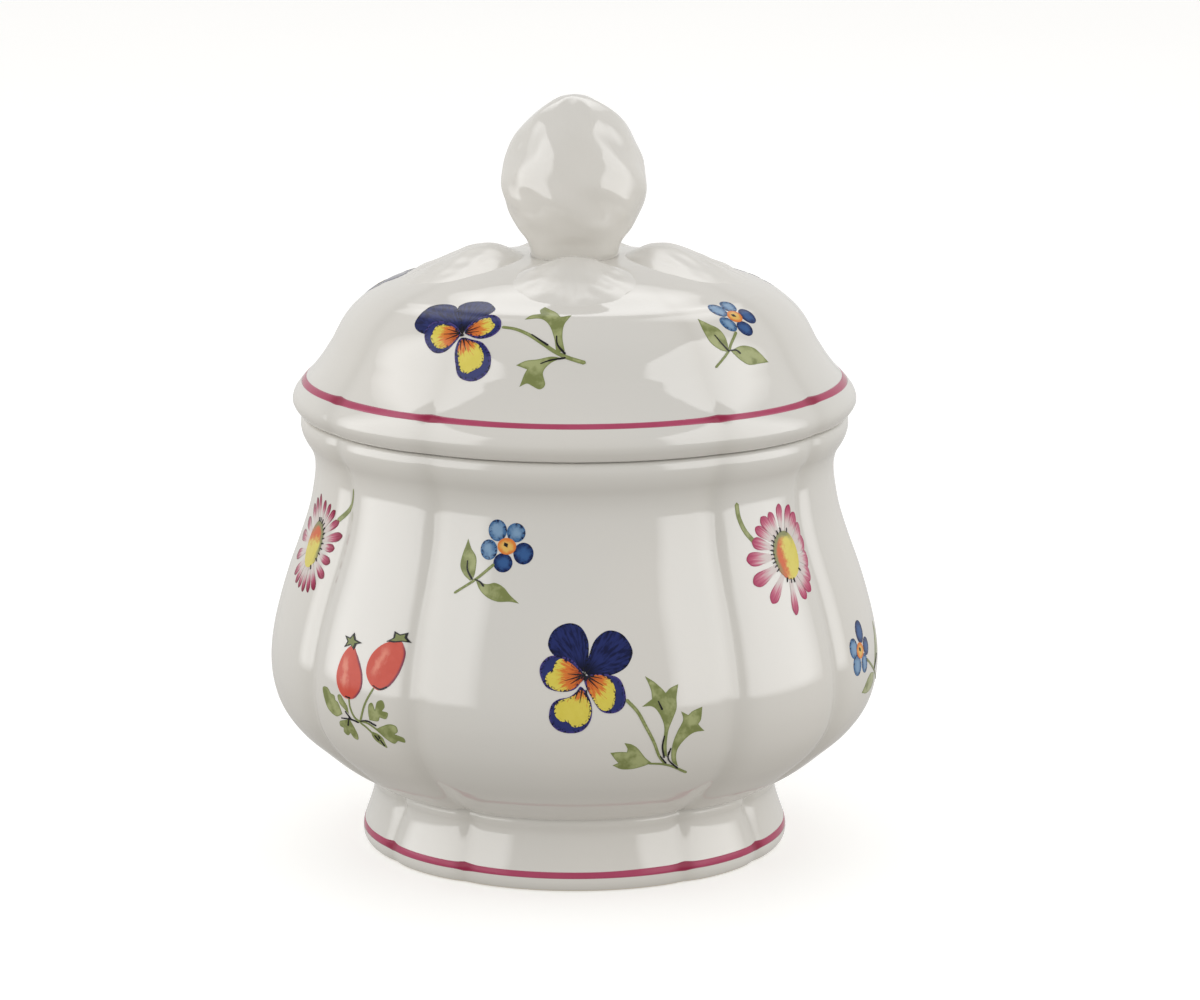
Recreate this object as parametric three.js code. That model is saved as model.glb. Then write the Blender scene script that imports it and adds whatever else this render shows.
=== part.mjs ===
// Porcelain sugar bowl with a lift-off lid: a pot-bellied bowl on a foot ring, and a domed lid with a
// locating ring, a bud-shaped knob and four leaves. Millimetres, +Z up, origin at the centre of the
// foot ring's standing face. The front of the bowl faces -Y.
import * as THREE from "three";

// Driving dimensions. A profile point is [radius, height], on the crest of a wide panel.
const SEGMENTS = 64; // round the axis, 16 to a quarter turn
const SEAT_Z = 13; // the bowl's underside meets the foot ring here
const RIM_Z = 71.7; // the lid's flat underside rests on the bowl's rim here
const KNOB_SEAT_Z = 97.6;
const WALL = 3.2; // bowl wall
const LID_WALL = 3.5;

// The plan is eight panels: four wide ones facing +-X and +-Y and four narrow ones between them, parted
// by shallow grooves.
const WIDE_HALF_ANGLE = 31; // degrees from a wide panel's centre to its groove
const GROOVE_DEPTH = 1.3; // where the grooves are deepest
const ROUND_SHARE = 3; // how sharply a panel turns down to its groove

const BOWL_OUTSIDE = [
  [33, SEAT_Z], [36, 13.6], [39.3, 15], [42.3, 17.2], [45.9, 20.4], [48.5, 24.2],
  [49.8, 28.5], [50, 32], [49.5, 36.5], [48.2, 41.8], [46.2, 48], [44, 54.5], [42.6, 60.5],
  [42.4, 64], [43.2, 67], [44.4, 69.4], [44.7, RIM_Z - 0.5], [44.2, RIM_Z],
];
const BOWL_FLOOR_Z = 17; // inside, at the centre
const BOWL_UNDERSIDE_Z = 13.6; // the underside is hollowed a little inside the foot ring
const FOOT_OUTSIDE = [
  [33.9, 0], [35, 1.1], [34.8, 2.4], [34, 5], [33.3, 8], [32.9, 10.8], [32.7, SEAT_Z],
];
const FOOT_INSIDE = [[29.6, SEAT_Z], [29.8, 7], [30.6, 2.5], [31.6, 0]];
const LID_OUTSIDE = [
  [44.2, RIM_Z], [45.3, 72.4], [46, 74.1], [45.6, 75.8], [44.1, 77.5], [42.2, 79.6], [40.2, 82.5],
  [39, 85], [37.4, 87.7], [34.8, 90.3], [31.2, 92.5], [26.4, 94.4], [20.5, 96], [14, 97.1],
  [9.5, KNOB_SEAT_Z],
];
const RING_OUTER = 38.4; // the locating ring, which drops into the bowl's mouth
const RING_INNER = 35.6;
const RING_FOOT_Z = 65.6;
const KNOB_PROFILE = [
  [0, KNOB_SEAT_Z], [5.6, KNOB_SEAT_Z], [7.2, 98.5], [7.9, 99.8], [9.2, 101.4], [10.5, 103.4],
  [11.4, 106], [11.8, 109.2], [11.3, 112.5], [10.1, 115.7], [8, 119], [5, 121.9], [2.4, 123.3],
  [0, 123.7],
];
const LEAF_BASE = 9; // distance from the axis at the leaf's root, beside the knob
const LEAF_TIP = 28;
const LEAF_GAP = 0.3; // between the leaf and the lid's surface
const LEAF_THICKNESS = 1.2;
const LEAF_HALF_WIDTH = { front: 9.8, back: 9.8, left: 12, right: 12 };

const radians = THREE.MathUtils.degToRad;
const smooth = THREE.MathUtils.smoothstep;

const points = (pairs) => pairs.map(([radius, height]) => new THREE.Vector2(radius, height));

// An even run of points on a smooth curve through the given ones.
function curved(pairs, count) {
  return new THREE.SplineCurve(points(pairs)).getPoints(count);
}

// The height of a run of points at a radius, where the run climbs to a flat top near the axis.
function heightAt(run, radius) {
  const i = run.findLastIndex((p) => p.x > radius);
  if (i < 0 || i === run.length - 1) return run.at(i).y;
  const [low, high] = [run[i], run[i + 1]];
  return low.y + ((high.y - low.y) * (low.x - radius)) / (low.x - high.x);
}

// An offset copy of a run of points, to the left of its direction of travel.
function offset(run, distance) {
  return run.map((p, i) => {
    const before = run[Math.max(i - 1, 0)];
    const after = run[Math.min(i + 1, run.length - 1)];
    const along = after.clone().sub(before).normalize();
    return new THREE.Vector2(p.x - along.y * distance, p.y + along.x * distance);
  });
}

// Moves an evenly spaced azimuth so that a column of vertices falls in each groove.
function toGrooves(angle) {
  const quarter = Math.PI / 2;
  const turn = Math.floor(angle / quarter) * quarter;
  const local = angle - turn;
  const even = [0, 6, 10, 16].map((column) => (column * quarter) / 16);
  const wanted = [0, radians(WIDE_HALF_ANGLE), quarter - radians(WIDE_HALF_ANGLE), quarter];
  const i = local < even[1] ? 0 : local < even[2] ? 1 : 2;
  const share = (local - even[i]) / (even[i + 1] - even[i]);
  return turn + wanted[i] + share * (wanted[i + 1] - wanted[i]);
}

// 0 on the crest of a panel and 1 in the groove beside it.
function grooveShare(angle) {
  const quarter = Math.PI / 2;
  const half = radians(WIDE_HALF_ANGLE);
  const fromWide = Math.abs(angle - Math.round(angle / quarter) * quarter);
  const share = fromWide < half ? fromWide / half : (quarter / 2 - fromWide) / (quarter / 2 - half);
  return Math.pow(Math.abs(share), ROUND_SHARE);
}

// A lathed solid with the eight panels pressed into it. depthAt gives the grooves' depth at a height.
function panelled(outline, depthAt) {
  const closed = [...outline, outline[0]];
  const geometry = new THREE.LatheGeometry(closed, SEGMENTS);
  geometry.rotateX(Math.PI / 2);
  const position = geometry.getAttribute("position");
  for (let i = 0; i < position.count; i++) {
    const [x, y, z] = [position.getX(i), position.getY(i), position.getZ(i)];
    const radius = Math.hypot(x, y);
    if (radius < 1e-6) continue;
    const column = Math.round((Math.atan2(y, x) / (2 * Math.PI)) * SEGMENTS);
    const angle = toGrooves((column * 2 * Math.PI) / SEGMENTS);
    const pressed = radius - depthAt(z, radius) * grooveShare(angle);
    position.setXY(i, pressed * Math.cos(angle), pressed * Math.sin(angle));
  }
  return geometry;
}

// A plain lathed solid.
function turned(pairs, segments) {
  const geometry = new THREE.LatheGeometry(points(pairs), segments);
  geometry.rotateX(Math.PI / 2);
  return geometry;
}

const glaze = (color) => new THREE.MeshStandardMaterial({ color, roughness: 0.12, metalness: 0 });
const porcelain = glaze(0xe9e6df);

function bowl() {
  const wall = offset(curved(BOWL_OUTSIDE, 14), WALL).filter((p) => p.y > 22 && p.y < 69);
  const underside = [[0, BOWL_UNDERSIDE_Z], [24, BOWL_UNDERSIDE_Z], [29, SEAT_Z]];
  const floor = [[40.5, 21.3], [34, 18], [22, BOWL_FLOOR_Z], [0, BOWL_FLOOR_Z]];
  const outline = [
    ...points(underside),
    ...curved(BOWL_OUTSIDE, 24),
    ...points([[41.2, RIM_Z]]),
    ...wall.reverse(),
    ...points(floor),
  ];
  // The grooves run out towards the underside and the mouth, and hardly show inside.
  const depthAt = (z, radius) => {
    const inside = radius < 41.3 && z > SEAT_Z + 1;
    const reach = smooth(z, SEAT_Z, 22) * (1 - 0.55 * smooth(z, 52, RIM_Z));
    return GROOVE_DEPTH * reach * (inside ? 0.7 : 1);
  };
  return panelled(outline, depthAt);
}

function footRing() {
  const outline = [...curved(FOOT_OUTSIDE, 9), ...points(FOOT_INSIDE)];
  return panelled(outline, (z, radius) => (radius > 32 ? 0.8 * (1 - smooth(z, 8, SEAT_Z)) : 0));
}

const lidOutside = curved(LID_OUTSIDE, 23);

function lid() {
  const dome = offset(curved(LID_OUTSIDE, 14), LID_WALL).filter((p) => p.y > 76 && p.x < RING_INNER);
  const outline = [
    ...points([[RING_INNER, RIM_Z]]),
    ...lidOutside,
    ...points([[0, KNOB_SEAT_Z], [0, KNOB_SEAT_Z - LID_WALL]]),
    ...dome.reverse(),
  ];
  const depthAt = (z, radius) => (radius > 36.5 ? 0.9 * (1 - smooth(z, 80, 92)) : 0);
  return panelled(outline, depthAt);
}

function locatingRing() {
  const chamfer = 0.8;
  const outline = [
    [RING_INNER, RIM_Z], [RING_INNER, RING_FOOT_Z], [RING_OUTER - chamfer, RING_FOOT_Z],
    [RING_OUTER, RING_FOOT_Z + chamfer], [RING_OUTER, RIM_Z], [RING_INNER, RIM_Z],
  ];
  return turned(outline, SEGMENTS);
}

function knob() {
  return turned(KNOB_PROFILE, 32);
}

// One leaf, made along +X: a curved slab that fans out from its root, with three lobes at its end.
function leaf(halfWidth) {
  const [along, across] = [9, 8];
  const geometry = new THREE.BoxGeometry(1, 2, 1, along, across, 1);
  const position = geometry.getAttribute("position");
  for (let i = 0; i < position.count; i++) {
    const u = position.getX(i) + 0.5;
    const v = position.getY(i);
    const upper = position.getZ(i) > 0;
    const width = halfWidth * (0.45 + 0.55 * Math.sin(Math.PI * Math.min(u * 0.72, 1)));
    const lobes = 1 - 0.1 * u * (1 - Math.cos(3 * Math.PI * v)) - 0.14 * u * v * v;
    const reach = LEAF_BASE + (LEAF_TIP - LEAF_BASE) * u * lobes;
    const y = v * width * Math.min(reach / 17, 1);
    const radius = Math.hypot(reach, y);
    const crown = LEAF_THICKNESS * (1 - 0.45 * v * v) * (1 - 0.5 * u * u);
    const base = heightAt(lidOutside, radius) + LEAF_GAP;
    position.setXYZ(i, reach, y, base + (upper ? crown : 0));
  }
  return geometry;
}

const object = new THREE.Group();
function add(name, geometry) {
  const mesh = new THREE.Mesh(geometry, porcelain);
  mesh.name = name;
  object.add(mesh);
  return mesh;
}

add("bowl", bowl());
add("foot_ring", footRing());
add("lid", lid());
add("locating_ring", locatingRing());
add("knob", knob());
["right", "back", "left", "front"].forEach((side, quarterTurns) => {
  add("leaf_" + side, leaf(LEAF_HALF_WIDTH[side])).rotation.z = (quarterTurns * Math.PI) / 2;
});

export default object;
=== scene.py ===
import math

import bpy
import numpy as np
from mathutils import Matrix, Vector
from mathutils.geometry import delaunay_2d_cdt


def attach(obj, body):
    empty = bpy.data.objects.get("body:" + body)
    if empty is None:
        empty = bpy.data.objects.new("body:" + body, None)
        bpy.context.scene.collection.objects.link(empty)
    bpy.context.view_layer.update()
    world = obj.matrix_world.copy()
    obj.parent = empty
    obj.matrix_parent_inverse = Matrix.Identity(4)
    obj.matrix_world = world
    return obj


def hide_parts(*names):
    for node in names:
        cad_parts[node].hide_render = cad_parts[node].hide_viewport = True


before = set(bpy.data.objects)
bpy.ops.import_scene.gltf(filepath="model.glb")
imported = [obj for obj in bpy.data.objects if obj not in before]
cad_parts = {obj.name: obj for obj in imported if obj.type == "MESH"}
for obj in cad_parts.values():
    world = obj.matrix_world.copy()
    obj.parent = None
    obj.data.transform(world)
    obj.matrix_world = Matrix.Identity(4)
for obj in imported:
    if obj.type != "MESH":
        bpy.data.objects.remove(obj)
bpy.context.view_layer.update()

# A porcelain sugar bowl with painted sprigs. Shapes are worked out in millimetres and turned to metres
# as their meshes are made. Azimuth is in degrees from the front (-Y), positive towards +X.
MM = 0.001
SHARP = 1  # a third value on an outline's point: the outline has a corner there

# The plan: four wide panels on the axes, four narrow ones between, and a soft groove at each join.
GROOVE_AT = 31.0  # degrees from a wide panel's centre
GROOVE_WIDTH = 3.0  # degrees to where the groove has risen to a third of its depth
SEAM = 71.72  # the height where the lid rests on the bowl's rim
STANDING = 0.01  # the lowest point of the foot, a hair above the table
UNGLAZED_BELOW = 0.3  # faces whose middle is lower than this are the bare standing face
MOUTH_SHARE = 0.7  # how much of the outside's grooves shows in the mouth and inside the bowl
INSIDE_SHARE = 0.45
COLUMNS = 360

# Profiles, as (radius, height).
FOOT = [
    (31.9, 0), (33.7, 0), (34.5, 0.4), (35, 1.3), (35.05, 2.4), (34.7, 3.9), (34.1, 5.6), (33.5, 7.5),
    (33.2, 9.1), (33.35, 10), (33.65, 10.6), (33.6, 11.1), (33.2, 11.45),
]
BELLY = [
    (33.4, 11.6), (35.9, 12.5), (39.1, 14.5), (42.3, 17.1), (45.9, 20.3), (48.5, 24), (49.75, 28),
    (50, 32), (49.5, 36.3), (48.4, 41), (46.9, 46), (45.1, 51), (43.5, 56), (42.7, 60), (42.4, 63),
    (42.6, 65), (43.1, 66.4), (43.75, 67.4), (44.4, 68.7), (44.7, 70), (44.65, 71), (44.3, 71.5),
    (43.6, 71.7),
]
MOUTH = [(43.6, 71.7), (42, 71.7), (41.3, 71.3), (41, 70.3), (40.4, 68), (39.4, 65), (39.2, 62)]
INSIDE = [
    (39.2, 62), (40, 57), (41.9, 51), (44.3, 44), (46, 38), (46.7, 32), (46.2, 27), (43.8, 23),
    (39, 19.6), (32, 17.7), (22, 17), (10, 17), (0, 17),
]
UNDERSIDE = [(0, 13.6), (14, 13.6), (24, 13.4), (28, 12.3), (29.4, 10.3), (29.7, 7), (30.2, 3),
             (31, 0.8), (31.9, 0)]
LID = [
    (43.9, 71.75), (44.6, 71.95), (45.3, 72.7), (45.95, 73.9), (45.8, 75.2), (45.15, 76.3), (44.2, 77.4),
    (42.7, 79), (41.3, 80.8), (40.2, 82.5), (39.5, 83.6), (38.8, 85), (37.7, 87), (36.1, 89), (33.7, 91),
    (31.8, 92.1), (31, 92.55), (28.5, 93.4), (24.5, 94.8), (19.5, 96.1), (13, 97.1), (0, 97.6),
]
LID_INSIDE = [
    (0, 94.1), (14, 93.6), (24, 91.2), (31, 88.2), (34.3, 85), (35.3, 81), (35.6, 76), (35.6, 66.6),
    (36, 65.8), (36.8, 65.6), (37.8, 65.9), (38.3, 66.8), (38.4, 71), (38.7, 71.6), (39.3, 71.75),
    (43.9, 71.75),
]
KNOB = [
    (0, 97), (6.5, 97.1), (7.2, 97.6), (7.6, 98.6), (8.1, 99.9), (9, 101.5), (10.1, 103.5),
    (10.95, 105.5), (11.5, 107.7), (11.65, 110), (11.25, 112.5), (10.3, 115), (9, 117.5), (7.1, 119.9),
    (4.8, 121.8), (2.2, 123.2), (0, 123.6),
]
PETAL_ROWS = [
    # (start, end, petals, turn): heights as shares of the knob's, the turn in degrees
    (0.0, 0.55, 4, 20), (0.25, 0.8, 5, 50), (0.5, 0.98, 4, 5), (0.74, 1.15, 3, 40),
]
BUD_FOOT = 99.5  # the height where the petals start, and how tall they are together
BUD_TALL = 24
BUD_RELIEF = 0.42
ROOT_SPREAD = 0.25  # the knob's root spreads and rises between the leaves
ROOT_RISE = 0.35
LEAF_ROOT = 7.6  # how far from the axis a leaf starts and ends
LEAF_TIP = 28.6
LEAF_HALF_WIDTH = {"front": 10.2, "right": 13.4, "back": 10.2, "left": 13.4}
LEAF_RINGS = 44
LEAF_COLUMNS = 132
LEAF_SWELL = 1.0  # how high the whole leaf swells, and how much higher its hump is
LEAF_HUMP = 1.7
LEAF_SUNK = -0.7  # a leaf's underside, inside the lid
GLAZE_SHINE = 0.5  # specular levels
ENAMEL_SHINE = 0.12
PAINT_LIFT = 0.035  # a layer of paint stands this far above what is under it
PAINT_SUNK = -0.04  # and the underside of all paint lies in the glaze

# The room, in metres and linear colours.
WORLD_BELOW = (0.46, 0.44, 0.41)
WORLD_AROUND = (0.85, 0.845, 0.83)
WORLD_ABOVE = (0.62, 0.61, 0.6)
FLOOR_HALF = 6.0
FLOOR_GLOW = 0.3
SHEEN_GAP = 0.02  # how far a softbox's sheen panel stands in front of it
SIDE_LIGHT_OUT = 0.34
SIDE_LIGHT_UP = 0.25
SIDE_LIGHTS = [("left", -1, -0.155, 0.59), ("right", 1, -0.175, 0.55)]  # name, side, y of its middle, width
CAMERA_AT = (0, -0.75, 0.2134)
CAMERA_TIP = 11.8  # degrees down
CAMERA_LENS = 140
CAMERA_SHIFT = 0.0212


# ---- shapes ----


def spline(points, step):
    """An even run of points, about step apart, on a smooth curve through the given ones."""
    p = np.array([q[:2] for q in points], float)
    ends = np.vstack([2 * p[0] - p[1], p, 2 * p[-1] - p[-2]])
    run = []
    for a, b, c, d in zip(ends, ends[1:], ends[2:], ends[3:]):
        count = max(1, round(np.hypot(*(c - b)) / step))
        t = np.arange(count)[:, None] / count
        bend = (2 * a - 5 * b + 4 * c - d) * t**2 + (3 * b - a - 3 * c + d) * t**3
        run.append(0.5 * (2 * b + (c - a) * t + bend))
    return np.vstack(run + [p[-1:]])


def smoothstep(value, low, high):
    t = np.clip((value - low) / (high - low), 0, 1)
    return t * t * (3 - 2 * t)


def groove(azimuth, crease=1.0):
    """How deep the plan is pressed in, from 0 on a panel's crest to 1 in the groove beside it. crease is
    the share left of the narrow trough down the groove's middle."""
    from_wide = np.abs((azimuth + 45) % 90 - 45)
    away = from_wide - GROOVE_AT
    half = np.where(away < 0, GROOVE_AT, 45 - GROOVE_AT)
    share = 1 - np.abs(away) / half
    return 0.5 * share**2.6 + 0.5 * crease * np.exp(-((away / GROOVE_WIDTH) ** 2))


def pressed_in(azimuth, radius, height):
    """How far the panels' grooves press the outside in, in millimetres, from the foot to the lid's top."""
    foot = 0.7 + 0.8 * smoothstep(height, 4, 11)
    belly = 1.6 - 0.4 * smoothstep(height, 14, 26) - 0.4 * smoothstep(height, 56, 70)
    lid = 0.7 + 0.1 * smoothstep(height, 76, 80) - 0.8 * smoothstep(height, 82, 91)
    depth = np.where(height < 11.5, foot, np.where(height < SEAM, belly, lid))
    crease = 1 - 0.5 * smoothstep(height, 12, 6) - 0.85 * smoothstep(height, SEAM, SEAM + 0.05)
    return depth * smoothstep(radius, 20, 33) * groove(azimuth, crease)


class Skin:
    """A lathed surface with the panels pressed into it. A place on it is an azimuth and a distance
    along the profile from its first point."""

    def __init__(self, profile, step=0.7, share=1.0):
        self.run = spline(profile, step)
        steps = np.hypot(*np.diff(self.run, axis=0).T)
        self.along = np.concatenate([[0], np.cumsum(steps)])
        self.share = share

    def radius(self, along):
        return np.interp(along, self.along, self.run[:, 0])

    def bare(self, azimuth, along):
        radius = self.radius(along)
        height = np.interp(along, self.along, self.run[:, 1])
        pressed = radius - self.share * pressed_in(azimuth, radius, height)
        angle = np.radians(azimuth)
        return np.stack([pressed * np.sin(angle), -pressed * np.cos(angle), height], -1)

    def at(self, azimuth, along, lift=0.0):
        """The point at a place, lifted off the surface."""
        small = 0.02
        sideways = self.bare(azimuth + small, along) - self.bare(azimuth - small, along)
        upwards = self.bare(azimuth, along + small) - self.bare(azimuth, along - small)
        normal = np.cross(sideways, upwards)
        normal /= np.linalg.norm(normal, axis=-1, keepdims=True)
        return self.bare(azimuth, along) + normal * np.asarray(lift)[..., None]


belly = Skin(BELLY)
foot_side = Skin(FOOT, 0.5)
dome = Skin(LID, 0.6)


def new_piece(name, points, faces, materials, body, nodes=()):
    """A mesh object from points in millimetres, riding on a body, in place of the CAD nodes named."""
    mesh = bpy.data.meshes.new(name)
    mesh.from_pydata((np.asarray(points) * MM).tolist(), [], faces)
    mesh.validate()
    mesh.shade_smooth()
    for material in materials:
        mesh.materials.append(material)
    piece = bpy.data.objects.new(name, mesh)
    bpy.context.scene.collection.objects.link(piece)
    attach(piece, body)
    if nodes:
        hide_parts(*nodes)
    return piece


def set_attribute(piece, name, values):
    """Stores a vector at each vertex, for the materials."""
    attribute = piece.data.attributes.new(name, "FLOAT_VECTOR", "POINT")
    attribute.data.foreach_set("vector", np.asarray(values, float).ravel())


def ring_faces(low, high, columns):
    """The faces between two closed rings of points, which start at low and at high."""
    following = [(c + 1) % columns for c in range(columns)]
    return [(low + c, low + d, high + d, high + c) for c, d in enumerate(following)]


def lathe(rows, columns=COLUMNS):
    """Points and faces of a closed turned body. rows(azimuth) gives one column of points, and the first
    and last of them lie on the axis."""
    grid = np.stack([rows(azimuth) for azimuth in np.arange(columns) * 360 / columns], 1)
    points = np.vstack([grid[1:-1].reshape(-1, 3), grid[0][0], grid[-1][0]])
    tip, top = len(points) - 2, len(points) - 2 - columns
    faces = []
    for low in range(0, top, columns):
        faces += ring_faces(low, low + columns, columns)
    for c in range(columns):
        d = (c + 1) % columns
        faces += [(d, c, tip), (top + c, top + d, tip + 1)]
    return points, faces


# ---- materials ----


def linear(red, green, blue):
    """A colour from its values out of 255 as seen on a screen."""
    channels = np.array([red, green, blue]) / 255
    low = channels / 12.92
    high = ((channels + 0.055) / 1.055) ** 2.4
    return (*np.where(channels <= 0.04045, low, high), 1.0)


class Tree:
    """A node tree, with short ways to add to it."""

    def __init__(self, owner):
        owner.use_nodes = True
        self.nodes = owner.node_tree.nodes
        self.links = owner.node_tree.links

    def node(self, kind, **inputs):
        node = self.nodes.new("ShaderNode" + kind)
        for name, value in inputs.items():
            self.give(node.inputs[name.replace("_", " ")], value)
        return node

    def give(self, socket, value):
        if isinstance(value, bpy.types.NodeSocket):
            self.links.new(value, socket)
        else:
            socket.default_value = value

    def math(self, operation, first, second=0.0, third=0.0):
        node = self.nodes.new("ShaderNodeMath")
        node.operation = operation
        for number, value in enumerate((first, second, third)):
            self.give(node.inputs[number], value)
        return node.outputs[0]

    def between(self, value, low, high):
        """0 to 1 as value goes from low to high, eased at both ends."""
        node = self.nodes.new("ShaderNodeMapRange")
        node.interpolation_type = "SMOOTHSTEP"
        for name, given in (("Value", value), ("From Min", low), ("From Max", high)):
            self.give(node.inputs[name], given)
        return node.outputs["Result"]

    def mix(self, factor, first, second):
        node = self.nodes.new("ShaderNodeMix")
        node.data_type = "RGBA"
        self.give(node.inputs[0], factor)
        self.give(node.inputs[6], first)
        self.give(node.inputs[7], second)
        return node.outputs[2]


class Paint(Tree):
    """A material's node tree, with what the paints here are made of."""

    def __init__(self, name, roughness=0.09, specular=ENAMEL_SHINE):
        self.material = bpy.data.materials.new(name)
        super().__init__(self.material)
        self.shader = self.nodes["Principled BSDF"]
        self.shader.inputs["Roughness"].default_value = roughness
        self.shader.inputs["IOR"].default_value = 1.5
        self.shader.inputs["Specular IOR Level"].default_value = specular

    def position(self):
        return self.node("TexCoord").outputs["Object"]

    def attribute(self, name):
        """The x, y and z of a stored vector."""
        node = self.nodes.new("ShaderNodeAttribute")
        node.attribute_name = name
        split = self.node("SeparateXYZ", Vector=node.outputs["Vector"])
        return split.outputs[0], split.outputs[1], split.outputs[2]

    def noise(self, vector, scale, detail=2.0, rough=0.5):
        node = self.node("TexNoise", Vector=vector, Scale=scale, Detail=detail, Roughness=rough)
        return node.outputs["Fac"]

    def about_zero(self, noise, strength):
        """Noise moved to lie about zero, and strengthened."""
        return self.math("MULTIPLY", self.math("SUBTRACT", noise, 0.5), strength)

    def bump(self, height, distance, strength=1.0):
        node = self.node("Bump", Height=height, Distance=distance, Strength=strength)
        self.links.new(node.outputs["Normal"], self.shader.inputs["Normal"])

    def finish(self, colour):
        """Sets the colour, and the faint unevenness that all fired glaze here has."""
        self.links.new(colour, self.shader.inputs["Base Color"])
        uneven = self.noise(self.position(), 160.0, 2.0)
        self.bump(uneven, 0.00004, 0.5)
        return self.material


PORCELAIN = linear(218, 216, 211)


def porcelain_glaze():
    """Warm white glaze, greyer in the grooves as painted shade and pooled glaze, with a faint orange peel.
    """
    paint = Paint("porcelain_glaze", specular=GLAZE_SHINE)
    where = paint.position()
    groove_shade, relief, _ = paint.attribute("groove_shade")
    cloud = paint.noise(where, 22.0, 3.0)
    body = paint.mix(paint.between(cloud, 0.35, 0.65), PORCELAIN, linear(221, 218, 212))
    # Greyer in the grooves: painted shade, and glaze pooled there.
    colour = paint.mix(paint.math("MULTIPLY", groove_shade, 0.5), body, linear(202, 199, 192))
    gloss = paint.between(paint.noise(where, 60.0, 3.0), 0.3, 0.7)
    smooth = paint.math("MULTIPLY_ADD", gloss, 0.03, 0.03)
    paint.give(paint.shader.inputs["Roughness"], paint.math("MULTIPLY_ADD", relief, 0.16, smooth))
    return paint.finish(colour)


def bisque():
    """The foot's unglazed standing face."""
    paint = Paint("bisque", 0.75, GLAZE_SHINE)
    grain = paint.noise(paint.position(), 1800.0, 4.0, 0.7)
    colour = paint.mix(grain, linear(214, 207, 194), linear(232, 227, 216))
    paint.links.new(colour, paint.shader.inputs["Base Color"])
    paint.bump(grain, 0.00006, 0.6)
    return paint.material


def rose_band():
    """Brushed rose enamel, thicker and darker in the grooves."""
    paint = Paint("rose_band")
    thick, across, _ = paint.attribute("ink")
    streaks = paint.noise(paint.position(), 130.0, 4.0, 0.6)
    thin = paint.mix(streaks, linear(186, 88, 118), linear(168, 62, 92))
    colour = paint.mix(paint.between(thick, 0.2, 0.9), thin, linear(150, 44, 74))
    edge = paint.between(across, 0.7, 1.0)
    return paint.finish(paint.mix(paint.math("MULTIPLY", edge, 0.35), colour, linear(216, 150, 168)))


def ink():
    """Near-black line work."""
    paint = Paint("ink")
    speck = paint.noise(paint.position(), 2500.0, 2.0)
    return paint.finish(paint.mix(speck, linear(22, 24, 28), linear(48, 46, 48)))


def stipple_along(paint, edge, width):
    """Fine dark dots along an edge, as a factor."""
    dots = paint.between(paint.noise(paint.position(), 2600.0, 1.0), 0.5, 0.58)
    return paint.math("MULTIPLY", paint.between(edge, width, 0.1), dots)


def rays(paint, angle, reach, count, drift):
    """Streaks that run out from the middle of a flower, as noise."""
    across = paint.math("MULTIPLY", angle, count)
    outward = paint.math("MULTIPLY", reach, drift)
    return paint.noise(paint.node("CombineXYZ", X=across, Y=outward).outputs[0], 2.2, 3.0, 0.6)


def petal_dark():
    """The pansy's upper petals: deep blue, veined from the middle of the flower, with a stippled edge."""
    paint = Paint("petal_dark")
    edge, angle, reach = paint.attribute("ink")
    veins = rays(paint, angle, reach, 6.0, 0.22)
    body = paint.mix(paint.between(veins, 0.36, 0.6), linear(20, 26, 66), linear(38, 48, 104))
    deep = paint.mix(paint.between(reach, 3.4, 0.8), body, linear(14, 18, 44))
    return paint.finish(paint.mix(stipple_along(paint, edge, 0.7), deep, linear(16, 18, 36)))


def petal_violet():
    """The outer part of the pansy's lower petals: blue, going violet at the rim."""
    paint = Paint("petal_violet")
    edge = paint.attribute("ink")[0]
    wash = paint.noise(paint.position(), 420.0, 3.0)
    body = paint.mix(wash, linear(34, 44, 98), linear(54, 60, 122))
    rim = paint.mix(paint.between(edge, 0.4, 0.0), body, linear(78, 66, 132))
    return paint.finish(paint.mix(stipple_along(paint, edge, 0.9), rim, linear(24, 24, 56)))


def petal_yellow():
    """The heart of a lower petal: yellow, with orange and red streaks from the middle of the flower."""
    paint = Paint("petal_yellow")
    edge, angle, reach = paint.attribute("ink")
    streaks = rays(paint, angle, reach, 9.0, 0.3)
    reach_in = paint.math("ADD", reach, paint.about_zero(streaks, -6.5))
    wash = paint.noise(paint.position(), 700.0, 2.0)
    yellow = paint.mix(wash, linear(214, 198, 78), linear(226, 212, 98))
    orange = paint.mix(paint.between(reach_in, 4.4, 3.0), yellow, linear(216, 116, 54))
    red = paint.mix(paint.between(reach_in, 2.4, 0.6), orange, linear(140, 50, 36))
    return paint.finish(paint.mix(stipple_along(paint, edge, 0.42), red, linear(40, 34, 56)))


def petal_blue(name, light, dark):
    """A forget-me-not's petal, brushed from a light middle to a darker, stippled rim."""
    paint = Paint(name)
    edge = paint.attribute("ink")[0]
    brush = paint.noise(paint.position(), 900.0, 3.0, 0.6)
    shade = paint.math("ADD", edge, paint.about_zero(brush, 1.8))
    body = paint.mix(paint.between(shade, 0.0, 1.1), dark, light)
    return paint.finish(paint.mix(stipple_along(paint, edge, 0.75), body, linear(20, 28, 66)))


def eye_orange():
    """A forget-me-not's eye."""
    paint = Paint("eye_orange")
    edge = paint.attribute("ink")[0]
    brush = paint.noise(paint.position(), 1300.0, 2.0)
    shade = paint.math("ADD", edge, paint.about_zero(brush, 0.9))
    rim = paint.between(shade, 0.15, 0.75)
    return paint.finish(paint.mix(rim, linear(222, 130, 62), linear(228, 186, 100)))


def leaf_green():
    """Olive green with paler brush strokes and a darker edge."""
    paint = Paint("leaf_green")
    edge = paint.attribute("ink")[0]
    wash = paint.noise(paint.position(), 380.0, 3.0, 0.6)
    body = paint.mix(paint.between(wash, 0.38, 0.64), linear(126, 134, 82), linear(168, 174, 124))
    return paint.finish(paint.mix(paint.between(edge, 0.25, 0.0), body, linear(128, 138, 86)))


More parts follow.
